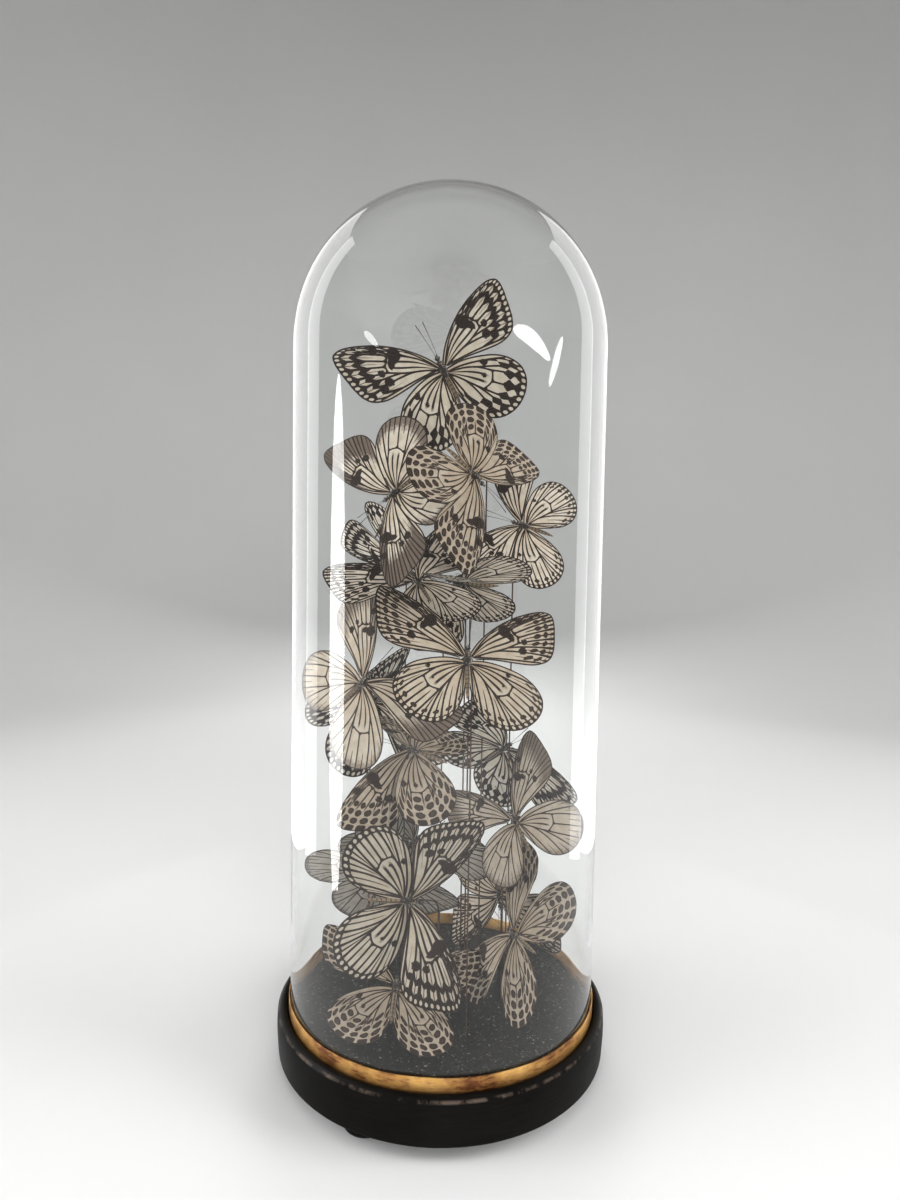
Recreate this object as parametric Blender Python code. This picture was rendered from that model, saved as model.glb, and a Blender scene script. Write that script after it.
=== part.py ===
"""Nineteen paper-kite butterflies on wires under a tall glass dome with a turned base.

Metres, +Z up. The origin is the middle of the base on the surface that its three feet stand on.
-Y is the side that the display is seen from. All pieces are fixed: the dome lifts off by hand.
"""

import math

import bmesh
import bpy
from mathutils import Matrix, Vector

MM = 0.001
GAP = 0.3 * MM                      # left between pieces that touch

# Turned base and its feet
FOOT_HEIGHT = 8 * MM
FOOT_RADIUS = 15 * MM
FOOT_CIRCLE = 88 * MM
FOOT_ANGLES = (-118, 2, 122)
FOOT_STEPS = 12
RIM_RADIUS = 108.3 * MM
RIM_TOP = 36.8 * MM
SEAT_RADIUS = 101.6 * MM            # inner edge of the rim
SEAT_LEVEL = 33 * MM                # where the glass, the band and the floor disc stand
BASE_STEPS = 40

# Floor disc, glass and the gold band round the foot of the glass
FLOOR_RADIUS = 96.3 * MM
FLOOR_TOP = 36.5 * MM
GLASS_RADIUS = 100 * MM
GLASS_WALL = 3 * MM
DOME_SPRING = 459 * MM              # height where the straight wall turns into the dome
DOME_FULLNESS = 2.08                # 2 is a half ball, more has fuller shoulders
GLASS_STEPS = 32
DOME_RINGS = 7
BAND_INNER = 100.3 * MM
BAND_OUTER = 101.0 * MM
BAND_TOP = 44 * MM

# Butterflies: sizes are forewing lengths in millimetres, wing thickness is that of a thin plate
WING_PLATE = 0.8 * MM
BODY_SIDES = 5
ROOT_OUT = 1.2 * MM
FORE_ROOT = (3.0 * MM, 0.6 * MM)    # forward of and above the middle of the thorax
HIND_ROOT = (-1.5 * MM, -0.4 * MM)
BODY_SIZE = 66                      # the forewing length that the body profile belongs to

# Wires and the round pads that the butterflies are glued to
WIRE_RADIUS = 0.65 * MM
PAD_RADIUS = 3.2 * MM
PAD_THICKNESS = 1.0 * MM
PAD_DEPTH = 3.4 * MM                # from the middle of the thorax to the middle of the pad
PAD_FORWARD = 1.0 * MM
PAD_SIDES = 8

# Outline of a right wing, root at the origin and tip near (1, 0); 1 is the forewing length.
FOREWING = (
    (0, 0.02), (0.16, 0.085), (0.36, 0.125), (0.58, 0.13), (0.80, 0.10), (0.95, 0.04), (0.99, -0.04),
    (0.94, -0.14), (0.72, -0.365), (0.62, -0.385), (0.34, -0.245), (0.04, -0.055),
)
HINDWING = (
    (0, 0.05), (0.14, 0.15), (0.30, 0.21), (0.46, 0.235), (0.61, 0.21), (0.72, 0.13), (0.76, -0.01),
    (0.71, -0.20), (0.58, -0.315), (0.44, -0.345), (0.30, -0.31), (0, -0.06),
)

# Along the body from the head to the tip of the abdomen: (forward, radius) in millimetres.
BODY_PROFILE = ((10, 0), (8.6, 1.4), (6.8, 1.1), (3, 2.6), (-3.5, 1.5), (-12, 1.8), (-22, 1.2), (-27, 0))

# One line a butterfly: the thorax (x, y and height above the floor disc, mm), how it faces (turn
# about the upright, tilt up, spin in its own plane), how far its fore and hind wings are lifted
# and swept (degrees), and its forewing length (mm).
BUTTERFLIES = {
    "butterfly_01": ((-4, 2, 413), (20, 5, 30), (5, 10), (30, -35), 72),
    "butterfly_02": ((-32, -35, 332), (-30, 20, 130), (5, 10), (25, -30), 62),
    "butterfly_03": ((14, -53, 342), (40, 25, -140), (-5, 5), (30, -25), 64),
    "butterfly_04": ((50, -1, 314), (10, 30, 70), (10, 0), (35, -25), 58),
    "butterfly_05": ((-18, -26, 277), (0, -40, 25), (20, 5), (45, -60), 58),
    "butterfly_06": ((10, -21, 277), (-10, -60, 75), (25, 5), (20, -30), 66),
    "butterfly_07": ((-33, 20, 291), (55, 35, 140), (10, 5), (35, -50), 60),
    "butterfly_08": ((-51, -38, 215), (-30, 10, -45), (-10, -5), (35, -40), 66),
    "butterfly_09": ((13, -57, 232), (20, 30, -10), (0, 5), (35, -35), 66),
    "butterfly_10": ((-19, -32, 172), (30, 60, 55), (-25, -15), (25, -20), 64),
    "butterfly_11": ((41, 28, 159), (-25, -25, -50), (30, 10), (35, -50), 64),
    "butterfly_12": ((47, -16, 122), (-40, 10, 40), (5, -5), (45, -25), 58),
    "butterfly_13": ((-21, 7, 99), (5, -30, -40), (15, 5), (35, -40), 64),
    "butterfly_14": ((-21, -63, 90), (10, -5, -95), (15, 5), (30, -30), 68),
    "butterfly_15": ((47, -28, 53), (-60, 25, 85), (0, -10), (35, -25), 62),
    "butterfly_16": ((-43, -6, 84), (5, -30, -65), (5, 5), (35, -45), 62),
    "butterfly_17": ((-53, 31, 190), (30, -15, -60), (40, 20), (25, -45), 68),
    "butterfly_18": ((-28, -38, 23), (25, 65, -25), (10, 0), (30, -40), 58),
    "butterfly_19": ((40, 23, 57), (-55, 10, 200), (0, 5), (30, -30), 64),
}

# The bends of each wire from its pad to the last one, straight above its foot (mm, as above).
WIRE_BENDS = {
    "butterfly_01": ((13, 17, 409),),
    "butterfly_02": ((-54, 22, 297),),
    "butterfly_03": ((26, 24, 357),),
    "butterfly_04": ((44, 10, 311),),
    "butterfly_05": ((-2, 17, 244),),
    "butterfly_06": ((16, 18, 259),),
    "butterfly_07": ((-29, 36, 287),),
    "butterfly_08": ((-48, -15, 207),),
    "butterfly_09": ((16, -44, 229),),
    "butterfly_10": ((-19, -24, 168),),
    "butterfly_11": ((48, 26, 158),),
    "butterfly_12": ((40, -7, 115),),
    "butterfly_13": ((-22, 33, 96),),
    "butterfly_14": ((-2, -40, 80),),
    "butterfly_15": ((49, -26, 52),),
    "butterfly_16": ((-37, 0, 85),),
    "butterfly_17": ((-55, 34, 184),),
    "butterfly_18": ((-29, -35, 20),),
    "butterfly_19": ((42, 25, 56),),
}


def clear_scene():
    """Remove whatever the file holds."""
    for obj in list(bpy.data.objects):
        bpy.data.objects.remove(obj, do_unlink=True)


def material(name, colour, roughness, metallic=0.0, transmission=0.0):
    """A plain Principled material with the piece's own colour and gloss."""
    made = bpy.data.materials.new(name)
    made.use_nodes = True
    shader = made.node_tree.nodes["Principled BSDF"]
    shader.inputs["Base Color"].default_value = (*colour, 1.0)
    shader.inputs["Roughness"].default_value = roughness
    shader.inputs["Metallic"].default_value = metallic
    shader.inputs["Transmission Weight"].default_value = transmission
    return made


def add_object(name, bm, finish, smooth_angle=35):
    """Put a bmesh in the scene as one named object, round faces shaded smooth."""
    mesh = bpy.data.meshes.new(name)
    bm.to_mesh(mesh)
    bm.free()
    mesh.shade_smooth()
    mesh.set_sharp_from_angle(angle=math.radians(smooth_angle))
    mesh.materials.append(finish)
    obj = bpy.data.objects.new(name, mesh)
    bpy.context.scene.collection.objects.link(obj)
    return obj


def turned(name, profile, finish, steps, closed=False):
    """Spin a profile of (radius, height) points about Z; a closed profile makes a ring."""
    bm = bmesh.new()
    verts = [bm.verts.new((radius, 0, height)) for radius, height in profile]
    pairs = list(zip(verts, verts[1:]))
    if closed:
        pairs.append((verts[-1], verts[0]))
    edges = [bm.edges.new(pair) for pair in pairs]
    bmesh.ops.spin(bm, geom=verts + edges, cent=(0, 0, 0), axis=(0, 0, 1),
                   angle=2 * math.pi, steps=steps)
    bmesh.ops.remove_doubles(bm, verts=bm.verts, dist=0.01 * MM)
    bmesh.ops.recalc_face_normals(bm, faces=bm.faces)
    return add_object(name, bm, finish)


def make_base(black):
    """The turned base: a flat underside, a bellied side and a rounded rim round a sunk seat."""
    bottom = FOOT_HEIGHT
    profile = (
        (0, bottom),
        (RIM_RADIUS - 3.6 * MM, bottom),
        (RIM_RADIUS - 1.6 * MM, bottom + 1.6 * MM),
        (RIM_RADIUS - 0.5 * MM, bottom + 9 * MM),
        (RIM_RADIUS, bottom + 19 * MM),
        (RIM_RADIUS - 0.3 * MM, RIM_TOP - 3 * MM),
        (RIM_RADIUS - 2.4 * MM, RIM_TOP - 0.3 * MM),
        (SEAT_RADIUS + 2.0 * MM, RIM_TOP),
        (SEAT_RADIUS, RIM_TOP - 1.4 * MM),
        (SEAT_RADIUS, SEAT_LEVEL),
        (0, SEAT_LEVEL),
    )
    turned("turned_base", profile, black, BASE_STEPS)


def make_feet(black):
    """Three turned bun feet with flat soles, set in a ring under the base."""
    top = FOOT_HEIGHT - GAP
    profile = (
        (0, 0),
        (FOOT_RADIUS - 5 * MM, 0),
        (FOOT_RADIUS - 1.5 * MM, 1.6 * MM),
        (FOOT_RADIUS, 4 * MM),
        (FOOT_RADIUS - 1.5 * MM, top - 1.2 * MM),
        (FOOT_RADIUS - 4 * MM, top),
        (0, top),
    )
    for number, degrees in enumerate(FOOT_ANGLES, start=1):
        foot = turned(f"foot_{number}", profile, black, FOOT_STEPS)
        angle = math.radians(degrees)
        foot.location = (FOOT_CIRCLE * math.cos(angle), FOOT_CIRCLE * math.sin(angle), 0)


def make_floor(dark):
    """The thin painted disc that the wires stand in."""
    bottom = SEAT_LEVEL + GAP
    profile = (
        (0, bottom),
        (FLOOR_RADIUS, bottom),
        (FLOOR_RADIUS, FLOOR_TOP),
        (0, FLOOR_TOP),
    )
    turned("floor_disc", profile, dark, BASE_STEPS)


def make_band(gold):
    """The gold band that is wrapped round the foot of the glass."""
    bottom = SEAT_LEVEL + GAP
    profile = (
        (BAND_INNER, bottom),
        (BAND_OUTER, bottom),
        (BAND_OUTER, BAND_TOP),
        (BAND_INNER, BAND_TOP),
    )
    turned("gold_band", profile, gold, GLASS_STEPS, closed=True)


def dome_profile(radius):
    """Quarter curve from the straight wall (radius, spring) to the pole, a little fuller than a ball."""
    points = []
    for ring in range(DOME_RINGS + 1):
        angle = math.radians(90) * ring / DOME_RINGS
        across = math.cos(angle) ** (2 / DOME_FULLNESS) if ring < DOME_RINGS else 0.0
        up = math.sin(angle) ** (2 / DOME_FULLNESS)
        points.append((radius * across, DOME_SPRING + radius * up))
    return points


def make_glass(glass):
    """The blown dome: outer skin, inner skin and the ground foot between them, open below."""
    foot = SEAT_LEVEL + GAP
    inner = GLASS_RADIUS - GLASS_WALL
    outer_skin = [(GLASS_RADIUS, foot)] + dome_profile(GLASS_RADIUS)
    inner_skin = dome_profile(inner)[::-1] + [(inner, foot)]
    bm = bmesh.new()
    for skin in (outer_skin, inner_skin):
        verts = [bm.verts.new((radius, 0, height)) for radius, height in skin]
        edges = [bm.edges.new(pair) for pair in zip(verts, verts[1:])]
        bmesh.ops.spin(bm, geom=verts + edges, cent=(0, 0, 0), axis=(0, 0, 1),
                       angle=2 * math.pi, steps=GLASS_STEPS)
    bmesh.ops.remove_doubles(bm, verts=bm.verts, dist=0.01 * MM)
    rims = [edge for edge in bm.edges if edge.is_boundary]
    bmesh.ops.bridge_loops(bm, edges=rims)
    bmesh.ops.recalc_face_normals(bm, faces=bm.faces)
    add_object("glass_dome", bm, glass)


def facing(turn, tilt, spin):
    """Rotation of a butterfly: +X its right, +Y its head, +Z its back, which faces -Y when all are 0."""
    return (Matrix.Rotation(math.radians(turn), 4, "Z")
            @ Matrix.Rotation(math.radians(90 - tilt), 4, "X")
            @ Matrix.Rotation(math.radians(spin), 4, "Z"))


def wing_plate(name, outline, size, root, lift, sweep, side, finish):
    """One wing as a thin flat plate; side is 1 for the right wing and -1 for the left."""
    bm = bmesh.new()
    verts = [bm.verts.new((x * size, y * size, -WING_PLATE / 2)) for x, y in outline]
    face = bm.faces.new(verts)
    raised = bmesh.ops.extrude_face_region(bm, geom=[face])
    top = [item for item in raised["geom"] if isinstance(item, bmesh.types.BMVert)]
    bmesh.ops.translate(bm, verts=top, vec=(0, 0, WING_PLATE))
    forward, above = root
    place = (Matrix.Translation((ROOT_OUT, forward, above))
             @ Matrix.Rotation(math.radians(-lift), 4, "Y")
             @ Matrix.Rotation(math.radians(sweep), 4, "Z"))
    if side < 0:
        place = Matrix.Scale(-1, 4, (1, 0, 0)) @ place
    bm.transform(place)
    bmesh.ops.recalc_face_normals(bm, faces=bm.faces)
    return add_object(name, bm, finish)


def body_spindle(name, size, finish):
    """Head, thorax and abdomen as one turned spindle along Y."""
    scale = size / BODY_SIZE
    bm = bmesh.new()
    verts = [bm.verts.new((radius * MM * scale, forward * MM * scale, 0))
             for forward, radius in BODY_PROFILE]
    edges = [bm.edges.new(pair) for pair in zip(verts, verts[1:])]
    bmesh.ops.spin(bm, geom=verts + edges, cent=(0, 0, 0), axis=(0, 1, 0),
                   angle=2 * math.pi, steps=BODY_SIDES)
    bmesh.ops.remove_doubles(bm, verts=bm.verts, dist=0.01 * MM)
    bmesh.ops.recalc_face_normals(bm, faces=bm.faces)
    return add_object(name, bm, finish)


def join_solids(target, pieces):
    """Unite pieces with the target as one closed solid and remove them."""
    bpy.context.view_layer.objects.active = target
    for piece in pieces:
        union = target.modifiers.new("union", "BOOLEAN")
        union.operation = "UNION"
        union.solver = "EXACT"
        union.object = piece
        bpy.ops.object.modifier_apply(modifier=union.name)
        bpy.data.objects.remove(piece, do_unlink=True)


def thorax_place(place, aim):
    """World matrix of a butterfly's thorax."""
    x, y, height = place
    return Matrix.Translation((x * MM, y * MM, FLOOR_TOP + height * MM)) @ facing(*aim)


def make_butterfly(name, place, aim, lifts, sweeps, length, finish):
    """One butterfly: a body and four wings, grown as one piece."""
    size = length * MM
    body = body_spindle(name, length, finish)
    wings = []
    parts = ((FOREWING, FORE_ROOT, lifts[0], sweeps[0]), (HINDWING, HIND_ROOT, lifts[1], sweeps[1]))
    for outline, root, lift, sweep in parts:
        for side in (1, -1):
            wings.append(wing_plate("wing", outline, size, root, lift, sweep, side, finish))
    join_solids(body, wings)
    body.matrix_world = thorax_place(place, aim)


def make_wire(name, place, aim, bends, finish):
    """A bent wire from the floor disc up to the round pad behind a butterfly's thorax."""
    thorax = thorax_place(place, aim)
    pad_centre = thorax @ Vector((0, PAD_FORWARD, -PAD_DEPTH))
    corners = [Vector((x * MM, y * MM, FLOOR_TOP + z * MM)) for x, y, z in bends]
    foot = Vector((corners[-1].x, corners[-1].y, FLOOR_TOP + GAP))
    points = [pad_centre, *corners, foot]

    curve = bpy.data.curves.new(name, "CURVE")
    curve.dimensions = "3D"
    curve.bevel_depth = WIRE_RADIUS
    curve.bevel_resolution = 0
    curve.use_fill_caps = True
    spline = curve.splines.new("POLY")
    spline.points.add(len(points) - 1)
    for point, corner in zip(spline.points, points):
        point.co = (*corner, 1.0)
    guide = bpy.data.objects.new("wire_curve", curve)
    bpy.context.scene.collection.objects.link(guide)
    bpy.context.view_layer.update()
    evaluated = guide.evaluated_get(bpy.context.evaluated_depsgraph_get())
    bm = bmesh.new()
    bm.from_mesh(evaluated.to_mesh())
    evaluated.to_mesh_clear()
    bpy.data.objects.remove(guide, do_unlink=True)
    bmesh.ops.remove_doubles(bm, verts=bm.verts, dist=0.01 * MM)
    bmesh.ops.recalc_face_normals(bm, faces=bm.faces)
    wire = add_object(name, bm, finish)

    disc = bmesh.new()
    bmesh.ops.create_cone(disc, cap_ends=True, segments=PAD_SIDES, radius1=PAD_RADIUS,
                          radius2=PAD_RADIUS, depth=PAD_THICKNESS)
    disc.transform(Matrix.Translation(pad_centre) @ thorax.to_3x3().to_4x4())
    pad = add_object("pad", disc, finish)
    join_solids(wire, [pad])


def main():
    clear_scene()
    black = material("ebonised wood", (0.012, 0.011, 0.011), 0.45)
    dark = material("painted board", (0.035, 0.04, 0.037), 0.7)
    gold = material("gold ribbon", (0.55, 0.33, 0.10), 0.4, metallic=0.6)
    glass = material("clear glass", (1.0, 1.0, 1.0), 0.02, transmission=1.0)
    wing = material("butterfly", (0.62, 0.56, 0.46), 0.7)
    wire = material("dark wire", (0.05, 0.03, 0.02), 0.5)
    make_base(black)
    make_feet(black)
    make_floor(dark)
    make_band(gold)
    make_glass(glass)
    for name, (place, aim, lifts, sweeps, length) in BUTTERFLIES.items():
        make_butterfly(name, place, aim, lifts, sweeps, length, wing)
        make_wire(name.replace("butterfly", "wire"), place, aim, WIRE_BENDS[name], wire)


main()
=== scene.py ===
"""Looks of the butterfly dome: blown glass, ebonised base, gilt band and nineteen paper-kite butterflies."""

import math
import random

import bpy
import numpy as np
from mathutils import Matrix, Quaternion, Vector


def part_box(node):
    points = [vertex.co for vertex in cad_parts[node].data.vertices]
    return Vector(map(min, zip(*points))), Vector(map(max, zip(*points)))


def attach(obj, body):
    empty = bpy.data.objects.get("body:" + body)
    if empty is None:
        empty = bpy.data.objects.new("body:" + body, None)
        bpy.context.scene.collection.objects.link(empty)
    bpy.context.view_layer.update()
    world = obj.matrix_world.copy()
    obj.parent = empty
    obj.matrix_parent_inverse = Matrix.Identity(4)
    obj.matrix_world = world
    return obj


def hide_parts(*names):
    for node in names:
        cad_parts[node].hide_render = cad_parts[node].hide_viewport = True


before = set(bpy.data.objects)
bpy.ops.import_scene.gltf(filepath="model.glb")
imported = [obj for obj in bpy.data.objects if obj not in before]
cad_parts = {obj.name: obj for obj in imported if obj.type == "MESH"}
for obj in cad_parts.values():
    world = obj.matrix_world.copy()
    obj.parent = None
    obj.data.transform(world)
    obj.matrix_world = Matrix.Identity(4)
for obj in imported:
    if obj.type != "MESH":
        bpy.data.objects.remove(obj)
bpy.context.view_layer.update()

MM = 0.001

# Where the main pieces are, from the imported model
BASE_LOW, BASE_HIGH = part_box("turned_base")
GLASS_LOW, GLASS_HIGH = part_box("glass_dome")
BAND_LOW, BAND_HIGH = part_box("gold_band")
FLOOR_LOW, FLOOR_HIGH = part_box("floor_disc")
RIM = BASE_HIGH.x
GLASS = GLASS_HIGH.x
FLOOR = FLOOR_HIGH.z

# Lathe work
SIDES = 128
FOOT_SIDES = 40
SEAT = 101.6 * MM
SEAT_LEVEL = GLASS_LOW.z - 0.3 * MM
GLASS_WALL = 3 * MM
SPRING = GLASS_HIGH.z - GLASS
FULLNESS = 2.08
SHOULDER_RINGS = 30

# Wings: thickness, height of a vein over the membrane between veins, steps in the surface
MEMBRANE = 0.16 * MM
VEIN_HEIGHT = 0.14 * MM
SAG = 0.16 * MM
ACROSS = (0.0, 0.08, 0.27, 0.5, 0.73, 0.92, 1.0)
STEPS_ALONG = 14
ROOT_OUT = 1.2 * MM
FORE_ROOT = (3.0 * MM, 0.6 * MM)
HIND_ROOT = (-1.5 * MM, -0.4 * MM)
WING_UNIT = 66.0                    # forewing length in mm that the master wings and body are made at
RIDGE = 0.35                        # how far a raised vein spreads to each side, mm
TROUGH = 3.0                        # distance from the veins where the membrane sags most, mm
NO_MARGIN = 60.0                    # reach given to fields that never meet the margin, mm
ON_MARGIN = 1e-3                    # a line nearer to the margin than this lies on it

# Wires
WIRE_RADIUS = 0.5 * MM
PAD_RADIUS = 3.2 * MM
PAD_THICKNESS = 1.0 * MM
PAD_DEPTH = 3.4 * MM
PAD_FORWARD = 1.0 * MM

# The viewer's eye: place in metres, lens in mm, look down and lean in degrees
EYE = (0.0021, -0.513, 0.331)
LENS = 23.4
LOOK_DOWN = 3.33
LEAN = 0.89

# Pattern, thorax (x, y, height over the floor disc, mm), facing (turn, tilt, spin), lifts and sweeps
# of fore and hind wings (degrees), forewing length (mm) and the last bend of the wire (mm).
BUTTERFLIES = {
    "01": ("bold", (-4, 2, 413), (20, 5, 30), (5, 10), (30, -35), 72, (13, 17, 409)),
    "02": ("shaded", (-32, -35, 332), (-30, 20, 130), (5, 10), (25, -30), 62, (-54, 22, 297)),
    "03": ("spotted", (14, -53, 342), (40, 25, -140), (-5, 5), (30, -25), 64, (26, 24, 357)),
    "04": ("lit_streaked", (50, -1, 314), (10, 30, 70), (10, 0), (35, -25), 58, (44, 10, 311)),
    "05": ("lit_streaked", (-18, -26, 277), (0, -40, 25), (20, 5), (45, -60), 58, (-2, 17, 244)),
    "06": ("lit_streaked", (10, -21, 277), (-10, -60, 75), (25, 5), (20, -30), 66, (16, 18, 259)),
    "07": ("lit_bold", (-33, 20, 291), (55, 35, 140), (10, 5), (35, -50), 60, (-29, 36, 287)),
    "08": ("smoky", (-51, -38, 215), (-30, 10, -45), (-10, -5), (35, -40), 66, (-48, -15, 207)),
    "09": ("streaked", (13, -57, 232), (20, 30, -10), (0, 5), (35, -35), 66, (16, -44, 229)),
    "10": ("spotted", (-19, -32, 172), (30, 60, 55), (-25, -15), (25, -20), 64, (-19, -24, 168)),
    "11": ("lit_bold", (41, 28, 159), (-25, -25, -50), (30, 10), (35, -50), 64, (48, 26, 158)),
    "12": ("smoky", (47, -16, 122), (-40, 10, 40), (5, -5), (45, -25), 58, (40, -7, 115)),
    "13": ("pale", (-21, 7, 99), (5, -30, -40), (15, 5), (35, -40), 64, (-22, 33, 96)),
    "14": ("barred", (-21, -63, 90), (10, -5, -95), (15, 5), (30, -30), 68, (-2, -40, 80)),
    "15": ("spotted", (47, -28, 53), (-60, 25, 85), (0, -10), (35, -25), 62, (49, -26, 52)),
    "16": ("pale", (-43, -6, 84), (5, -30, -65), (5, 5), (35, -45), 62, (-37, 0, 85)),
    "17": ("lit_bold", (-53, 31, 190), (30, -15, -60), (40, 20), (25, -45), 68, (-55, 34, 184)),
    "18": ("spotted", (-28, -38, 23), (25, 65, -25), (10, 0), (30, -40), 58, (-29, -35, 20)),
    "19": ("streaked", (40, 23, 57), (-55, 10, 200), (0, 5), (30, -30), 64, (42, 25, 56)),
}

# Outlines of a right wing, root at the origin and tip near (1, 0); 1 is the forewing length.
FORE_OUTLINE = (
    (0, 0.02), (0.16, 0.085), (0.36, 0.125), (0.58, 0.13), (0.78, 0.10), (0.92, 0.055), (0.985, 0),
    (0.99, -0.05), (0.955, -0.12), (0.88, -0.215), (0.80, -0.305), (0.72, -0.365), (0.63, -0.385),
    (0.50, -0.35), (0.34, -0.245), (0.18, -0.13), (0.04, -0.055),
)
HIND_OUTLINE = (
    (0, 0.05), (0.12, 0.135), (0.28, 0.20), (0.45, 0.235), (0.60, 0.215), (0.705, 0.15), (0.755, 0.055),
    (0.76, -0.05), (0.73, -0.155), (0.665, -0.25), (0.565, -0.32), (0.44, -0.345), (0.31, -0.315),
    (0.19, -0.235), (0.09, -0.145), (0, -0.06),
)

# A wing's veins. The discal cell has an upper edge, an end and a lower edge; a vein leaves one of them
# at a share of its length, or the root, and runs to the margin at a place counted in outline points.
FORE_VEINS = {
    "upper": ((0.02, -0.005), (0.20, 0.05), (0.36, 0.06), (0.52, 0.045)),
    "end": ((0.52, 0.045), (0.515, -0.01), (0.53, -0.05), (0.50, -0.105)),
    "lower": ((0.02, -0.02), (0.18, -0.05), (0.35, -0.09), (0.50, -0.105)),
    "costal": ("root", 0, 2.6, (0.22, 0.10)),
    "radial_1": ("upper", 0.60, 3.4, None),
    "radial_2": ("upper", 0.84, 4.2, None),
    "radial_3": ("upper", 1.0, 5.0, None),
    "radial_4": ("upper", 1.0, 6.1, None),
    "median_1": ("end", 0.32, 7.3, None),
    "median_2": ("end", 0.66, 8.3, None),
    "median_3": ("lower", 1.0, 9.2, None),
    "cubital_1": ("lower", 0.76, 10.1, None),
    "cubital_2": ("lower", 0.50, 11.1, None),
    "anal": ("root", 0, 12.3, (0.30, -0.165)),
}
HIND_VEINS = {
    "upper": ((0.01, 0.01), (0.15, 0.07), (0.28, 0.095), (0.42, 0.085)),
    "end": ((0.42, 0.085), (0.43, 0.03), (0.42, -0.03), (0.36, -0.09)),
    "lower": ((0.01, 0.0), (0.13, -0.025), (0.25, -0.06), (0.36, -0.09)),
    "costal": ("root", 0, 3.7, (0.14, 0.13)),
    "radial": ("upper", 0.66, 4.9, None),
    "median_1": ("upper", 1.0, 6.0, None),
    "median_2": ("end", 0.5, 7.1, None),
    "median_3": ("lower", 1.0, 8.2, None),
    "cubital_1": ("lower", 0.76, 9.3, None),
    "cubital_2": ("lower", 0.48, 10.4, None),
    "anal_1": ("root", 0, 11.5, (0.17, -0.11)),
    "anal_2": ("root", 0, 12.8, (0.11, -0.11)),
}
WIDE = 2                            # a field twice as finely divided across, to meet three fields below

# Blotches are ellipses on the wing: x, y, half length, half width.
BLOTCHES = {
    "fore": ((0.45, 0.055, 0.055, 0.065), (0.47, -0.015, 0.03, 0.05), (0.64, 0.075, 0.035, 0.04),
             (0.56, -0.12, 0.03, 0.026), (0.49, -0.185, 0.043, 0.033)),
    "hind": ((0.33, 0.145, 0.035, 0.025), (0.35, 0.035, 0.024, 0.02)),
}
# Ink of each kind. Lengths are in mm, measured in from the margin along a field between two veins, and
# shares are of that field's half width. band: depth, more at the veins. rim: depth. tooth: start, slant,
# length, share. lozenge, dash and ticks: distance in, half length, share. oval: share, distance in, half
# width, half length. streak: length, width. smoke: depth, softness, strength. bare: veins stop there.
PATTERNS = {
    "bold": {
        "ground": (0.57, 0.53, 0.46), "ink": (0.015, 0.0085, 0.0065), "vein": 1.0, "edge": 0.9, "fold": 0.24,
        "flare": 0.25, "band": {"fore": (13.5, 6.0), "hind": (11.2, 5.0)},
        "tooth": {"fore": (4.6, 3.8, 4.0, 0.72)}, "lozenge": {"hind": (7.9, 3.3, 0.66)},
        "oval": (0.50, 2.3, 0.32, 1.4), "streak": {"fore": (26.0, 0.5)},
        "blotches": {"fore": 1.35, "hind": 1.2},
    },
    "barred": {
        "ground": (0.51, 0.465, 0.395), "ink": (0.015, 0.0085, 0.0065), "vein": 1.08, "edge": 0.9,
        "fold": 0.26, "flare": 0.5, "band": {"fore": (12.5, 4.5)}, "tooth": {"fore": (4.7, 3.0, 4.4, 0.62)},
        "rim": {"hind": 4.6}, "oval": (0.50, 2.2, 0.28, 1.25),
        "streak": {"fore": (30.0, 0.6), "hind": (28.0, 1.25)}, "blotches": {"fore": 1.3, "hind": 0.8},
    },
    "streaked": {
        "ground": (0.56, 0.495, 0.41), "ink": (0.018, 0.01, 0.0068), "vein": 0.95, "edge": 0.8,
        "fold": 0.24, "flare": 0.40, "rim": {"fore": 3.0, "hind": 3.4}, "oval": (0.50, 1.8, 0.25, 1.05),
        "streak": {"fore": (24.0, 1.15), "hind": (22.0, 1.25)},
        "dash": {"fore": ((6.6, 1.6, 0.70), (12.8, 2.4, 0.62)), "hind": ((6.4, 1.4, 0.50),)},
        "blotches": {"fore": 1.1, "hind": 0.5},
    },
    "spotted": {
        "ground": (0.44, 0.38, 0.31), "ink": (0.019, 0.0105, 0.007), "vein": 0.75, "edge": 0.5, "fold": 0.20,
        "dash": {wing: ((6.8, 2.1, 0.78), (12.1, 2.1, 0.78), (17.6, 2.0, 0.72)) for wing in ("fore", "hind")},
        "ticks": (2.1, 1.9, 0.78), "bare": 14.0, "blotches": {"fore": 1.1, "hind": 1.1},
    },
    "shaded": {
        "ground": (0.62, 0.57, 0.495), "ink": (0.017, 0.0098, 0.007), "vein": 0.92, "edge": 0.8,
        "fold": 0.22, "smoke": {"fore": (19.0, 7.0, 0.88), "hind": (8.0, 5.0, 0.80)},
        "streak": {"fore": (32.0, 1.0), "hind": (13.0, 1.0)}, "blotches": {"fore": 1.1},
    },
    "smoky": {
        "ground": (0.50, 0.445, 0.375), "ink": (0.022, 0.0132, 0.0095), "vein": 0.82, "edge": 0.7,
        "fold": 0.18, "smoke": {"fore": (14.0, 8.0, 0.75), "hind": (4.0, 3.5, 0.60)},
        "streak": {"fore": (22.0, 0.8), "hind": (11.0, 0.7)}, "blotches": {"fore": 0.8},
    },
    "pale": {
        "ground": (0.48, 0.455, 0.41), "ink": (0.026, 0.017, 0.012), "vein": 0.78, "edge": 0.7, "fold": 0.16,
        "smoke": {"fore": (2.8, 1.6, 0.70), "hind": (2.4, 1.4, 0.70)},
        "streak": {"fore": (10.0, 0.7), "hind": (10.0, 0.7)},
    },
}
# Painted light: lighter copies of the bold and streaked kinds. 07, 11 and 17 are lit from behind in the real
# dome and 04 to 06 face down, so under these lamps they would come out too dark.
PATTERNS["lit_bold"] = {**PATTERNS["bold"], "ground": (0.78, 0.745, 0.68)}
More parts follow.
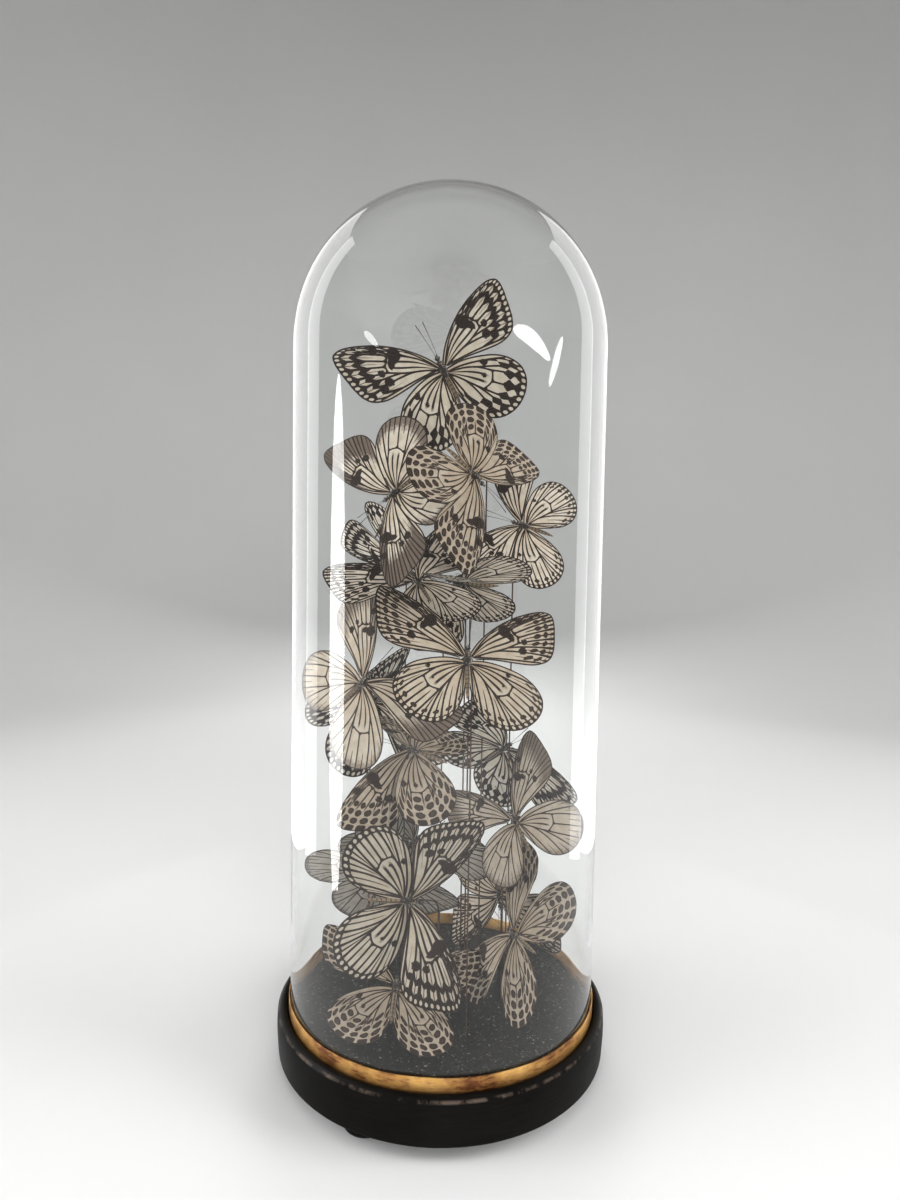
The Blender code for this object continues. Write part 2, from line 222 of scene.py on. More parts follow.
PATTERNS["lit_streaked"] = {**PATTERNS["streaked"], "ground": (0.72, 0.66, 0.58)}


# ---- shader nodes

def feed(tree, slot, item):
    """Give a socket a varying number, another socket, or a fixed value."""
    if isinstance(item, Field):
        item = item.socket
    if isinstance(item, bpy.types.NodeSocket):
        tree.links.new(item, slot)
    else:
        slot.default_value = item


class Field:
    """A number that varies over a surface, worked out in shader nodes."""

    def __init__(self, tree, socket):
        self.tree = tree
        self.socket = socket

    def math(self, operation, *others, clamp=False):
        node = self.tree.nodes.new("ShaderNodeMath")
        node.operation = operation
        node.use_clamp = clamp
        for slot, item in zip(node.inputs, (self, *others)):
            feed(self.tree, slot, item)
        return Field(self.tree, node.outputs[0])

    def __add__(self, other):
        return self.math("ADD", other)

    def __sub__(self, other):
        return self.math("SUBTRACT", other)

    def __mul__(self, other):
        return self.math("MULTIPLY", other)

    def __truediv__(self, other):
        return self.math("DIVIDE", other)

    def __abs__(self):
        return self.math("ABSOLUTE")

    def squared(self):
        return self.math("MULTIPLY", self)

    def over(self, limit, blur):
        """1 where the number is over the limit, 0 where it is under, with a soft step of the blur's width."""
        return (self - limit).math("MULTIPLY_ADD", 1 / blur, 0.5, clamp=True)

    def under(self, limit, blur):
        """1 where the number is under the limit."""
        return (self - limit).math("MULTIPLY_ADD", -1 / blur, 0.5, clamp=True)

    def with_(self, other):
        """Either mask."""
        return self.math("MAXIMUM", other)

    def within(self, other):
        """Both masks."""
        return self.math("MULTIPLY", other)

    def without(self, other):
        """The first mask where the other isn't."""
        return self.math("MULTIPLY", other.math("MULTIPLY_ADD", -1, 1, clamp=True))


class Finish:
    """A named Principled material and the tools to paint it."""

    def __init__(self, name, roughness=0.5, **sockets):
        self.material = bpy.data.materials.new(name)
        self.material.use_nodes = True
        self.tree = self.material.node_tree
        self.shader = self.tree.nodes["Principled BSDF"]
        self.shader.inputs["Roughness"].default_value = roughness
        for socket, value in sockets.items():
            self.shader.inputs[socket.replace("_", " ")].default_value = value

    def node(self, kind, **settings):
        made = self.tree.nodes.new(kind)
        for key, value in settings.items():
            setattr(made, key, value)
        return made

    def map(self, name):
        """The two numbers of a UV map."""
        split = self.node("ShaderNodeSeparateXYZ")
        self.tree.links.new(self.node("ShaderNodeUVMap", uv_map=name).outputs["UV"], split.inputs[0])
        return Field(self.tree, split.outputs[0]), Field(self.tree, split.outputs[1])

    def object_place(self):
        """Object coordinates as a vector socket and as three numbers."""
        vector = self.node("ShaderNodeTexCoord").outputs["Object"]
        split = self.node("ShaderNodeSeparateXYZ")
        self.tree.links.new(vector, split.inputs[0])
        return vector, [Field(self.tree, out) for out in split.outputs]

    def joined(self, x, y, z):
        """Three numbers as a vector socket."""
        made = self.node("ShaderNodeCombineXYZ")
        for slot, item in zip(made.inputs, (x, y, z)):
            feed(self.tree, slot, item)
        return made.outputs[0]

    def noise(self, vector, scale, detail=3.0, roughness=0.55):
        """Soft noise between about 0.3 and 0.7."""
        made = self.node("ShaderNodeTexNoise")
        self.tree.links.new(vector, made.inputs["Vector"])
        made.inputs["Scale"].default_value = scale
        made.inputs["Detail"].default_value = detail
        made.inputs["Roughness"].default_value = roughness
        return Field(self.tree, made.outputs["Fac"])

    def mixed(self, share, first, second):
        """Colour socket: first where the share is 0, second where it is 1."""
        made = self.node("ShaderNodeMix", data_type="RGBA")
        feed(self.tree, made.inputs["Factor"], share)
        for slot, colour in ((made.inputs[6], first), (made.inputs[7], second)):
            feed(self.tree, slot, (*colour, 1.0) if isinstance(colour, tuple) else colour)
        return made.outputs[2]

    def paint(self, colour=None, roughness=None, bump=None, height=0.0001, strength=1.0):
        """Link a colour, a roughness and a bump to the shader."""
        if colour is not None:
            self.tree.links.new(colour, self.shader.inputs["Base Color"])
        if roughness is not None:
            self.tree.links.new(roughness.socket, self.shader.inputs["Roughness"])
        if bump is not None:
            made = self.node("ShaderNodeBump")
            made.inputs["Distance"].default_value = height
            made.inputs["Strength"].default_value = strength
            self.tree.links.new(bump.socket, made.inputs["Height"])
            self.tree.links.new(made.outputs[0], self.shader.inputs["Normal"])
        return self.material


# ---- finishes

def ebonised_wood():
    """Black stained and waxed wood: turned grain, dull dust in the pores, brown wear and a painted highlight
    line along the rim.
    """
    finish = Finish("ebonised wood", Specular_IOR_Level=0.09)
    vector, (x, y, z) = finish.object_place()
    radius = (x.squared() + y.squared()).math("SQRT")
    stretched = finish.joined(x * 0.25, y * 0.25, z * 3.0)
    grain = finish.noise(stretched, 260, 5.0, 0.7)
    dust = finish.noise(vector, 30, 4.0)
    fine = finish.noise(vector, 900, 3.0)
    # A thin lighter brown line along the rim edge: partly wear, partly a painted highlight.
    rim = abs(z - (BASE_HIGH.z - 2.2 * MM)).under(0.7 * MM, 0.8 * MM)
    rim = rim.within(radius.over(RIM - 2.4 * MM, 1.0 * MM))
    wear_and_highlight = rim.within(finish.noise(vector, 90, 5.0, 0.7).over(0.53, 0.16))
    black = finish.mixed(grain.over(0.5, 0.35), (0.0018, 0.0016, 0.0015), (0.0065, 0.0058, 0.005))
    dusty = finish.mixed(dust.over(0.52, 0.4) * 0.18, black, (0.026, 0.024, 0.022))
    colour = finish.mixed(wear_and_highlight * 0.65, dusty, (0.13, 0.10, 0.08))
    return finish.paint(colour, dust * 0.30 + 0.27, grain + fine * 0.4, 0.25 * MM, 0.45)


def painted_board():
    """Matt dark grey-green paint with brush mottling, dust and small scuffs."""
    finish = Finish("painted board", Specular_IOR_Level=0.12)
    vector, _ = finish.object_place()
    broad = finish.noise(vector, 22, 5.0, 0.65)
    fine = finish.noise(vector, 420, 3.0)
    speck = finish.noise(vector, 700, 1.0).over(0.69, 0.03)
    dark = finish.mixed(broad.over(0.5, 0.22), (0.0025, 0.0027, 0.0024), (0.014, 0.0135, 0.0115))
    dusted = finish.mixed(fine.over(0.58, 0.25) * 0.25, dark, (0.050, 0.048, 0.040))
    colour = finish.mixed(speck * 0.7, dusted, (0.30, 0.28, 0.24))
    return finish.paint(colour, broad * 0.25 + 0.55, fine, 0.15 * MM, 0.5)


def gold_ribbon():
    """Old gilt paper: bright where it is whole, red-brown where the bole and glue show through."""
    finish = Finish("gold ribbon", Metallic=0.55)
    vector, (x, y, z) = finish.object_place()
    patch = finish.noise(vector, 26, 4.0, 0.6)
    streak = finish.noise(finish.joined(x, y, z * 5.0), 130, 4.0, 0.65)
    rubbed = (patch * 0.6 + streak * 0.4).over(0.50, 0.16)
    lower = z.under(BAND_LOW.z + 4.5 * MM, 4.0 * MM)
    gold = finish.mixed(streak.over(0.5, 0.3), (0.50, 0.29, 0.085), (0.76, 0.53, 0.22))
    brown = finish.mixed(patch.over(0.56, 0.2), (0.24, 0.095, 0.035), (0.13, 0.05, 0.02))
    colour = finish.mixed(rubbed.with_(lower * 0.55), gold, brown)
    return finish.paint(colour, streak * 0.4 + 0.22, streak, 0.3 * MM, 0.6)


def clear_glass():
    """Blown glass, a little green in its thickness, with a slow ripple left by the blowing."""
    finish = Finish("clear glass", 0.0, Transmission_Weight=1.0, IOR=1.46, Base_Color=(0.99, 1.0, 0.994, 1.0))
    vector, (x, y, z) = finish.object_place()
    ripple = finish.noise(finish.joined(x, y, z * 0.35), 17, 1.0)
    film = finish.noise(vector, 60, 4.0, 0.7).over(0.60, 0.2) * 0.02
    return finish.paint(None, film, ripple, 1.2 * MM, 0.10)


def dark_wire():
    """Old iron wire with mottled brown varnish."""
    finish = Finish("dark wire", Metallic=0.35)
    vector, _ = finish.object_place()
    mottle = finish.noise(vector, 380, 3.0, 0.6)
    long_mottle = finish.noise(vector, 60, 3.0)
    brown = finish.mixed(mottle.over(0.5, 0.25), (0.020, 0.012, 0.009), (0.085, 0.044, 0.028))
    colour = finish.mixed(long_mottle.over(0.55, 0.2) * 0.5, brown, (0.15, 0.075, 0.045))
    return finish.paint(colour, mottle * 0.4 + 0.25, mottle, 0.1 * MM, 0.5)


def wing_finish(kind, wing):
    """Scales on a wing: pale ground, inked veins and the kind's own marks between them."""
    pattern = PATTERNS[kind]
    finish = Finish(f"{kind} {wing}wing", Sheen_Weight=0.04, Sheen_Roughness=0.5, Specular_IOR_Level=0.22)
    x, y = finish.map("place")
    vein, s = finish.map("vein")
    edge, reach = finish.map("edge")
    breadth, along = finish.map("cell")
    discal = breadth.under(0.0, 0.002)
    half = abs(breadth)
    flat = finish.joined(x, y, 0.0)
    rag = finish.noise(flat, 34, 3.0, 0.6) - 0.5
    side = abs(s)
    depth = reach + rag * 2.2
    blur = 0.30

    flare = reach.math("MULTIPLY_ADD", -1 / 9, 1, clamp=True) * pattern.get("flare", 0)
    thick = (flare + pattern["vein"] * 0.53).math("MINIMUM", half * 0.42)
    lines = vein.under(rag * 0.25 + thick, 0.16)
    folds = abs(side - 0.36).under(pattern["fold"] * 0.5, 0.05).within(discal).within(along.under(0.86, 0.1))
    ink = lines.with_(folds)
    if "bare" in pattern:
        ink = ink.within(reach.over(pattern["bare"], 5.0).with_(discal))

    if wing in pattern.get("band", {}):
        deep, point = pattern["band"][wing]
        ink = ink.with_(depth.under(side * point + deep, blur))
    if wing in pattern.get("rim", {}):
        ink = ink.with_(depth.under(pattern["rim"][wing], blur))
    if wing in pattern.get("tooth", {}):
        start, slant, length, share = pattern["tooth"][wing]
        into = depth - side * slant
        tooth = into.over(start, blur).within(into.under(start + length, blur))
        ink = ink.without(tooth.within(side.under(share, 0.08)))
    if wing in pattern.get("lozenge", {}):
        out, long, share = pattern["lozenge"][wing]
        lozenge = side / share + abs(depth - out) / long
        ink = ink.without(lozenge.under(1.0, 0.2))
    if "oval" in pattern:
        middle, out, wide, long = pattern["oval"]
        oval = ((side - middle) / wide).squared() + ((reach - out) / long).squared()
        ink = ink.without(oval.under(1.0, 0.35))
    if wing in pattern.get("streak", {}):
        length, width = pattern["streak"][wing]
        taper = depth.math("MULTIPLY_ADD", -1 / length, 1, clamp=True).math("POWER", 0.35)
        thin = (taper * (width / 2)).math("MINIMUM", half * 0.30)
        streak = (side * half).under(thin, 0.2).within(taper.over(0.4, 0.2))
        ink = ink.with_(streak.within(depth.over(0.4, blur)))
    hearts = []
    for out, long, share in pattern.get("dash", {}).get(wing, ()):
        dash = (side / share).squared() + ((depth - out) / long).squared()
        ink = ink.with_(dash.under(1.0, 0.3))
        hearts.append(dash.under(0.30, 0.35))
    if "ticks" in pattern:
        out, long, share = pattern["ticks"]
        block = (side / share).squared().squared() + ((reach - out) / long).squared().squared()
        ink = ink.with_(block.under(1.0, 0.4))
    if wing in pattern.get("blotches", {}):
        for px, py, rx, ry in BLOTCHES[wing]:
            blotch = ((x + rag * 0.03 - px) / rx).squared() + ((y + rag * 0.05 - py) / ry).squared()
            ink = ink.with_(blotch.under(pattern["blotches"][wing], 0.25))
    ink = ink.with_(edge.under(pattern["edge"], 0.25))

    red, green, blue = pattern["ground"]
    warm = finish.noise(flat, 9, 3.0)
    ground = finish.mixed(warm.over(0.5, 0.3), (red * 0.84, green * 0.80, blue * 0.74), pattern["ground"])
    root = x.under(0.20, 0.36)
    ground = finish.mixed(root * 0.40, ground, (red * 0.72, green * 0.60, blue * 0.45))
    if "smoke" in pattern:
        deep, soft, strength = pattern["smoke"][wing]
        smoke = (reach + rag * 12.0).under(deep, soft)
        ground = finish.mixed(smoke * strength, ground, (0.105, 0.072, 0.053))
    mealy = finish.noise(flat, 300, 2.0)
    dull = finish.mixed(mealy.over(0.5, 0.4) * 0.18, pattern["ink"], (0.075, 0.048, 0.034))
    for heart in hearts:
        dull = finish.mixed(heart * 0.45, dull, (0.085, 0.052, 0.036))
    colour = finish.mixed(ink, ground, dull)
    return finish.paint(colour, mealy * 0.3 + 0.48, mealy * 0.35 + lines, 0.06 * MM, 0.6)


def body_finish():
    """Black thorax and head with white dots, cream abdomen with a dark line down its back."""
    finish = Finish("furred body", 0.6, Sheen_Weight=0.3, Sheen_Roughness=0.4)
    x, y = finish.map("place")
    z, part = finish.map("vein")
    vector = finish.joined(x, y, z)
    fur = finish.noise(vector, 2.2, 3.0, 0.7)
    rings = (y * 2.35).math("SINE").under(-0.62, 0.3)
    line = abs(x).under(0.42, 0.25).within(z.over(0.2, 0.3))
    cream = finish.mixed(fur.over(0.5, 0.4), (0.17, 0.12, 0.075), (0.31, 0.24, 0.155))
    tail = y.under(-24.0, 3.0)
    abdomen = finish.mixed(rings.with_(line).with_(tail) * 0.9, cream, (0.05, 0.035, 0.025))
    dots = finish.noise(vector, 0.75, 1.0).over(0.60, 0.05)
    black = finish.mixed(dots * 0.6, (0.020, 0.014, 0.011), (0.50, 0.43, 0.33))
    colour = finish.mixed(part.over(0.5, 0.02), abdomen, black)
    limb = finish.mixed(part.over(1.5, 0.02), colour, (0.022, 0.015, 0.012))
    return finish.paint(limb, fur * 0.3 + 0.45, fur, 0.2 * MM, 0.5)


def plain_paper():
    """Seamless studio paper under and behind the display."""
    finish = Finish("studio paper", 0.85, Specular_IOR_Level=0.15)
    vector, _ = finish.object_place()
    tooth = finish.noise(vector, 900, 2.0)
    shade = finish.mixed(finish.noise(vector, 1.2, 2.0), (0.53, 0.53, 0.53), (0.59, 0.59, 0.59))
    return finish.paint(shade, None, tooth, 0.05 * MM, 0.2)


# ---- making pieces

def start(name):
    """Name the primitive that was just added, put its place in its mesh and open it in edit mode."""
    bpy.ops.object.transform_apply(location=True, rotation=True, scale=True)
    obj = bpy.context.object
    obj.name = name
    obj.data.name = name
    bpy.ops.object.mode_set(mode="EDIT")
    bpy.ops.mesh.select_all(action="SELECT")
    return obj


def close(merge, speck=0.0):
    """Merge doubles, drop specks, turn the faces outwards and leave edit mode."""
    bpy.ops.mesh.select_all(action="SELECT")
    bpy.ops.mesh.remove_doubles(threshold=merge)
    if speck:
        bpy.ops.mesh.dissolve_degenerate(threshold=speck)
    bpy.ops.mesh.normals_make_consistent(inside=False)
    bpy.ops.object.mode_set(mode="OBJECT")


def apply_modifier(obj, kind, **settings):
    """Add a modifier and apply it."""
    made = obj.modifiers.new(kind.lower(), kind)
    for key, value in settings.items():
        setattr(made, key, value)
    bpy.context.view_layer.objects.active = obj
    bpy.ops.object.modifier_apply(modifier=made.name)


def soften(obj, width, segments=3, angle=40):
    """Round the edges that turn by more than the angle."""
    apply_modifier(obj, "BEVEL", width=width, segments=segments, limit_method="ANGLE",
                   angle_limit=math.radians(angle))


def turned(degrees, axis):
    """A turn about an axis through the origin."""
    return Matrix.Rotation(math.radians(degrees), 4, axis)


def cover(obj, material):
    """Give a piece one material."""
    obj.data.materials.clear()
    obj.data.materials.append(material)


def place_new(name, data):
    """A new object in the scene."""
    obj = bpy.data.objects.new(name, data)
    bpy.context.scene.collection.objects.link(obj)
    return obj


def pick(*objects):
    """Select these objects only; the first is the active one."""
    bpy.ops.object.select_all(action="DESELECT")
    for obj in objects:
        obj.select_set(True)
    bpy.context.view_layer.objects.active = objects[0]


def write_maps(mesh, maps):
    """Replace a mesh's UV maps; each is given as two numbers for every vertex."""
    loops = np.zeros(len(mesh.loops), np.int32)
    mesh.loops.foreach_get("vertex_index", loops)
    while mesh.uv_layers:
        mesh.uv_layers.remove(mesh.uv_layers[0])
    for name, values in maps.items():
        layer = mesh.uv_layers.new(name=name)
        layer.uv.foreach_set("vector", values.reshape(-1, 2)[loops].astype(np.float32).ravel())


def lathe(name, profile, sides, centre=(0, 0)):
    """Add a ring at the first point of a (radius, height) profile and pull it out ring by ring."""
    bpy.ops.object.select_all(action="DESELECT")
    tiny = 0.02 * MM
    points = [(max(radius, tiny), height) for radius, height in profile]
    radius, height = points[0]
    bpy.ops.mesh.primitive_circle_add(vertices=sides, radius=radius, location=(*centre, height))
    obj = start(name)
    for (before, low), (after, high) in zip(points, points[1:]):
        bpy.ops.mesh.extrude_region_move(TRANSFORM_OT_translate={"value": (0, 0, high - low)})
        bpy.ops.transform.resize(value=(after / before, after / before, 1), center_override=(*centre, high))
    close(0.06 * MM)
    return obj


def finish_piece(obj, material, slot, *nodes, smooth=40):
    """Give a piece its material and body, and hide the plain solids that it stands for; the slot argument is
    not used.
    """
    if material is not None:
        cover(obj, material)
    pick(obj)
    bpy.ops.object.shade_smooth_by_angle(angle=math.radians(smooth))
    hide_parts(*nodes)
    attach(obj, "root")


def make_base(material):
    """The turned base with its rounded rim and sunk seat."""
    low, high = BASE_LOW.z, BASE_HIGH.z
    profile = (
        (0, low), (RIM - 2.2 * MM, low), (RIM - 0.9 * MM, low + 1.2 * MM), (RIM - 0.4 * MM, low + 9 * MM),
        (RIM - 0.05 * MM, low + 15 * MM), (RIM, low + 19 * MM), (RIM - 0.3 * MM, high - 3 * MM),
        (RIM - 2.4 * MM, high - 0.3 * MM), (SEAT + 2.0 * MM, high), (SEAT, high - 1.4 * MM),
        (SEAT, SEAT_LEVEL), (0, SEAT_LEVEL),
    )
    base = lathe("ebonised_base", profile, SIDES)
    soften(base, 0.7 * MM, angle=14)
    finish_piece(base, material, "ebonised_wood", "turned_base")


def make_feet(material):
    """Three bun feet."""
    for number in (1, 2, 3):
        low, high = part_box(f"foot_{number}")
        middle = (low + high) / 2
        radius = (high.x - low.x) / 2
        top = high.z
        profile = (
            (0, 0), (radius - 5 * MM, 0), (radius - 2.6 * MM, 0.5 * MM), (radius - 1.0 * MM, 1.8 * MM),
            (radius, 4 * MM), (radius - 1.1 * MM, 6.2 * MM), (radius - 3.6 * MM, top), (0, top),
        )
        foot = lathe(f"bun_foot_{number}", profile, FOOT_SIDES, (middle.x, middle.y))
        soften(foot, 0.5 * MM, 2, 14)
        finish_piece(foot, material, "ebonised_wood", f"foot_{number}")


def make_floor(material):
    """The thin painted disc, its upper edge a little rounded."""
    radius = FLOOR_HIGH.x
    low, high = FLOOR_LOW.z, FLOOR_HIGH.z
    board = lathe("painted_disc", ((0, low), (radius, low), (radius, high), (0, high)), SIDES)
    soften(board, 0.5 * MM)
    finish_piece(board, material, "painted_board", "floor_disc")


def make_band(material):
    """The gilt paper band, its upper edge a little uneven."""
    outer = BAND_HIGH.x
    inner = outer - 0.7 * MM
    low, high = BAND_LOW.z, BAND_HIGH.z
    profile = (
        (inner, low), (outer, low), (outer, (low + high) / 2), (outer, high), (inner, high), (inner, low),
    )
    band = lathe("gilt_band", profile, SIDES)
    for vertex in band.data.vertices:
        angle = math.atan2(vertex.co.y, vertex.co.x)
        if vertex.co.z > high - 0.1 * MM:
            vertex.co.z -= (0.25 + 0.14 * math.sin(5 * angle) + 0.11 * math.sin(13 * angle + 1)) * MM
    soften(band, 0.15 * MM, 2)
    finish_piece(band, material, "gold_ribbon", "gold_band")


def make_glass(material):
    """The blown dome: one skin drawn up to the pole, then given its wall inwards."""
    profile = [(GLASS, GLASS_LOW.z), (GLASS, GLASS_LOW.z + 60 * MM), (GLASS, SPRING - 180 * MM),
               (GLASS, SPRING - 60 * MM)]
    for ring in range(SHOULDER_RINGS + 1):
        angle = math.radians(90) * ring / SHOULDER_RINGS
        across = max(math.cos(angle), 0.0) ** (2 / FULLNESS)
        up = math.sin(angle) ** (2 / FULLNESS)
        profile.append((GLASS * across, SPRING + GLASS * up))
    dome = lathe("blown_glass_dome", profile, SIDES)
    apply_modifier(dome, "SOLIDIFY", thickness=GLASS_WALL, offset=-1, use_even_offset=True)
    soften(dome, 0.8 * MM)
    finish_piece(dome, material, "clear_glass", "glass_dome", smooth=50)
    dome.visible_shadow = False


# ---- wings

def smooth_line(points, places):
    """Points of a smooth curve through the given points, at places counted in points."""
    line = np.array(points, float)
    last = len(line) - 1
    found = []
    for place in places:
        first = min(int(place), last - 1)
        t = place - first
        p0, p1, p2, p3 = (line[min(max(first + k, 0), last)] for k in (-1, 0, 1, 2))
        found.append(0.5 * (2 * p1 + (p2 - p0) * t + (2 * p0 - 5 * p1 + 4 * p2 - p3) * t * t
                            + (3 * p1 - p0 - 3 * p2 + p3) * t ** 3))
    return np.array(found)


def run_along(line):
    """Distance run along a line at each of its points."""
    return np.concatenate([[0], np.cumsum(np.linalg.norm(np.diff(line, axis=0), axis=1))])


def even(line, shares):
    """Points at shares of a line's length."""
    run = run_along(line)
    if run[-1] == 0:
        return np.repeat(line[:1], len(shares), axis=0)
    at = np.array(shares) * run[-1]
    return np.stack([np.interp(at, run, line[:, axis]) for axis in (0, 1)], axis=1)


def between(first, last, count=40):
    """Evenly spaced places from first to last."""
    return [first + (last - first) * k / count for k in range(count + 1)]


def away(points, line):
    """Distance of each point from a line of points."""
    a, b = line[:-1], line[1:]
    run = b - a
    length = np.maximum((run ** 2).sum(1), 1e-12)
    t = np.clip(((points[:, None] - a) * run).sum(2) / length, 0, 1)
    return np.linalg.norm(points[:, None] - (a + t[..., None] * run), axis=2).min(1)


def column_shares(base, top):
    """Share of the way across of each column, from the longer of the two cross lines."""
    longer = max(run_along(top), run_along(base), key=lambda run: run[-1])
    return longer / max(longer[-1], 1e-9)


def patch(left, right, base, top):
    """Grid of points between four lines; left and right run from base to top."""
    t = np.linspace(0, 1, len(left))[:, None, None]
    s = column_shares(base, top)[None, :, None]
    ruled = (1 - s) * left[:, None] + s * right[:, None] + (1 - t) * base[None] + t * top[None]
    corners = ((1 - s) * (1 - t) * left[0] + s * (1 - t) * right[0] + (1 - s) * t * left[-1]
               + s * t * right[-1])
    return ruled - corners


def shares_across(fields=1):
    """Shares across one field between veins, or several side by side."""
    return [0.0] + [(number + share) / fields for number in range(fields) for share in ACROSS[1:]]


def wing_fields(outline, veins):
    """Every field between two veins as (left, right, base, top) lines, and the discal cell's four lines."""
    edges = {key: smooth_line(veins[key], between(0, 3)) for key in ("upper", "end", "lower")}
    names = [key for key in veins if key not in edges]
    along = [k / STEPS_ALONG for k in range(STEPS_ALONG + 1)]
    lines = {}
    starts = {}
    for key in names:
        edge, share, place, bend = veins[key]
        end = smooth_line(outline, [place])[0]
        if edge == "root":
            first = np.array(veins["upper" if end[1] > 0 else "lower"][0], float)
            control = np.array(bend, float)
        else:
            first = even(edges[edge], [share])[0]
            outward = first / np.linalg.norm(first)
            straight = (end - first) / np.linalg.norm(end - first)
            control = first + (outward + straight) * 0.22 * np.linalg.norm(end - first)
        t = np.linspace(0, 1, 41)[:, None]
        curve = (1 - t) ** 2 * first + 2 * t * (1 - t) * control + t * t * end
        lines[key] = even(curve, along)
        starts[key] = (edge, share)

    def base_line(first, second, shares):
        """Along the discal cell from one vein's start to the next one's."""
        (edge_a, share_a), (edge_b, share_b) = starts[first], starts[second]
        if edge_a == "root" and edge_b == "root":
            return np.repeat(lines[first][:1], len(shares), axis=0)
        if edge_a == "root":
            edge_a, share_a = edge_b, 0
        elif edge_b == "root":
            edge_b, share_b = edge_a, 0
        if edge_a == "upper" and edge_b == "end":
            edge_a, share_a = "end", 0
        elif edge_a == "end" and edge_b == "lower":
            edge_b, share_b = "end", 1
        return even(edges[edge_a], [share_a + (share_b - share_a) * share for share in shares])

    fields = []
    sides = {"upper": [], "end": [], "lower": []}
    off_upper = [key for key in names if starts[key][0] == "upper" and starts[key][1] < 1]
    for first, second in zip(names, names[1:]):
        shares = shares_across(WIDE if off_upper == [second] else 1)
        place_a, place_b = veins[first][2], veins[second][2]
        top = smooth_line(outline, [place_a + (place_b - place_a) * share for share in shares])
        base = base_line(first, second, shares)
        fields.append((lines[first], lines[second], base, top, False))
        if np.ptp(base, axis=0).max() > 0:
            edge_a, edge_b = starts[first][0], starts[second][0]
            edge = "upper" if edge_b == "upper" else "lower" if edge_a == "lower" else "end"
            sides[edge].append(base)
    last = len(outline) - 1
    costa = even(smooth_line(outline, between(0, veins[names[0]][2])), along)
    trailing = even(smooth_line(outline, between(last, veins[names[-1]][2])), along)
    for left, right in ((costa, lines[names[0]]), (lines[names[-1]], trailing)):
        shares = np.array(shares_across())[:, None]
        fields.append((left, right, left[0] + (right[0] - left[0]) * shares,
                       left[-1] + (right[-1] - left[-1]) * shares, True))
    upper, end, lower = (np.concatenate([sides[key][0]] + [line[1:] for line in sides[key][1:]])
                         for key in ("upper", "end", "lower"))
    lower = lower[::-1]
    root = np.linspace(upper[0], lower[0], len(end))
    return fields, (upper, lower, root, end)


def grid_piece(points, maps):
    """A grid primitive whose points are set out on the wing, with its four maps."""
    rows, columns = points.shape[:2]
    bpy.ops.object.select_all(action="DESELECT")
    bpy.ops.mesh.primitive_grid_add(x_subdivisions=columns - 1, y_subdivisions=rows - 1, size=1)
    obj = bpy.context.object
    obj.data.vertices.foreach_set("co", points.reshape(-1, 3).astype(np.float32).ravel())
    write_maps(obj.data, maps)
    return obj


def join(objects, name):
    """Join objects into the first one."""
    pick(*objects)
    bpy.ops.object.join()
    objects[0].name = name
    objects[0].data.name = name
    return objects[0]


def wing_master(name, outline, veins):
    """A right wing at WING_UNIT size: a grid for each field, veins raised, then given its thickness."""
    fields, (upper, lower, root, end) = wing_fields(outline, veins)
    rim = smooth_line(outline, between(0, len(outline) - 1, 160))
    unit = WING_UNIT
    pieces = []
    jobs = [(*field, False) for field in fields] + [(upper, lower, root, end, False, True)]
    for left, right, base, top, sliver, discal in jobs:
        flat = patch(left, right, base, top)
        rows, columns = flat.shape[:2]
        points = flat.reshape(-1, 2)
        if sliver:
            walls = [right if away(left, rim).max() < ON_MARGIN else left]
        else:
            walls = [left, right]
        if not sliver and np.ptp(base, axis=0).max() > 0:
            walls.append(base)
        if discal:
            walls.append(end)
        vein = np.min([away(points, wall) for wall in walls], axis=0) * unit
        edge = away(points, rim) * unit
        run = run_along(flat[:, columns // 2])
        reach = np.repeat((run[-1] - run)[:, None], columns, axis=1) * unit
        if sliver or discal:
            reach = np.full_like(reach, NO_MARGIN)
        width = np.linalg.norm(flat[:, 0] - flat[:, -1], axis=1)[:, None]
        s = np.where(width > 1e-6, np.linalg.norm(flat - flat[:, :1], axis=2) / np.maximum(width, 1e-6), 0.5)
        s = np.clip(s, 0, 1) * 2 - 1
        t = np.repeat(np.linspace(0, 1, rows)[:, None], columns, axis=1)
        breadth = np.repeat(width * unit / 2, columns, axis=1) * (-1 if discal else 1)
        height = np.clip(1 - vein / RIDGE, 0, 1) * VEIN_HEIGHT - np.clip(vein / TROUGH, 0, 1) * SAG
        grid = np.dstack([flat * unit * MM, height.reshape(rows, columns)])
        maps = {
            "place": flat,
            "vein": np.dstack([vein.reshape(rows, columns), s]),
            "edge": np.dstack([edge.reshape(rows, columns), reach]),
            "cell": np.dstack([breadth, t]),
        }
        pieces.append(grid_piece(grid, maps))
    wing = join(pieces, name)
    bpy.ops.object.mode_set(mode="EDIT")
    close(0.02 * MM, 0.005 * MM)
    apply_modifier(wing, "SOLIDIFY", thickness=MEMBRANE, offset=0, use_even_offset=False)
    return wing


# ---- bodies

def body_maps(obj, part):
    """Body coordinates in millimetres and the part's code, in the same maps as the wings use."""
    co = np.array([vertex.co for vertex in obj.data.vertices]) / MM
    write_maps(obj.data, {
        "place": co[:, :2],
        "vein": np.stack([co[:, 2], np.full(len(co), part)], axis=1),
        "edge": np.zeros((len(co), 2)),
        "cell": np.zeros((len(co), 2)),
    })
    return obj


def ball(centre, size, segments=16, rings=10):
    """An ellipsoid from a ball, in millimetres."""
    bpy.ops.object.select_all(action="DESELECT")
    bpy.ops.mesh.primitive_uv_sphere_add(segments=segments, ring_count=rings, radius=1,
                                         location=[c * MM for c in centre], scale=[r * MM for r in size])
    bpy.ops.object.transform_apply(location=True, rotation=True, scale=True)
    return bpy.context.object


